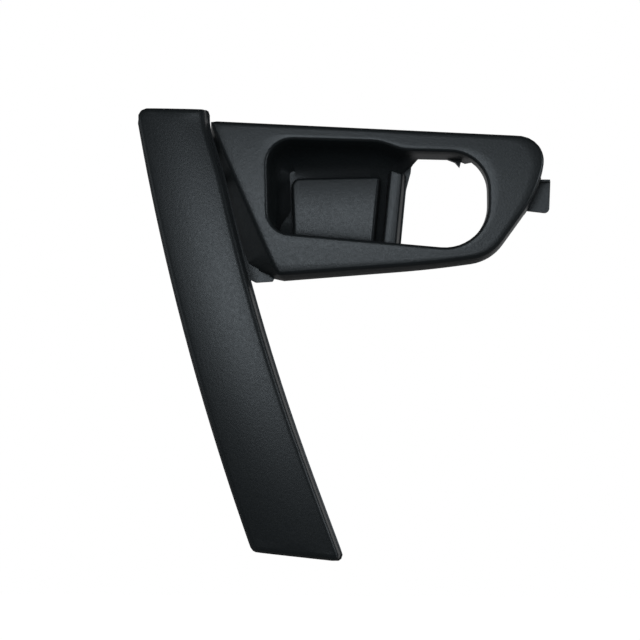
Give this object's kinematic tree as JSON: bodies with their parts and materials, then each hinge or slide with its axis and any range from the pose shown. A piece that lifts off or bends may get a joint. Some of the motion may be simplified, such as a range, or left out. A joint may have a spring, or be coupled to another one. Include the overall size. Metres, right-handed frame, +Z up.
{
  "type": "door handle trim cover",
  "caption": "Interior door trim cover: a long curved shell for the pull handle, joined to a bezel with a finger bowl and a round opening for the release lever.",
  "frame": {"origin": "centre of the release lever's opening, in the plane where the bezel's rear rim meets the door panel", "axes": "+X to the right seen from the cabin, +Y into the door, +Z up"},
  "size_m": [0.2391, 0.0575, 0.2578],
  "materials": {
    "plastic": "satin, fine moulded grain, dark bluish grey",
    "spring_steel": "bright rolled strip",
    "zinc_steel": "zinc plated"
  },
  "bodies": {
    "root": {"pull_cover": "plastic", "lever_bezel": "plastic", "spring_clips": "spring_steel", "joining_screws": "zinc_steel"}
  },
  "joints": []
}
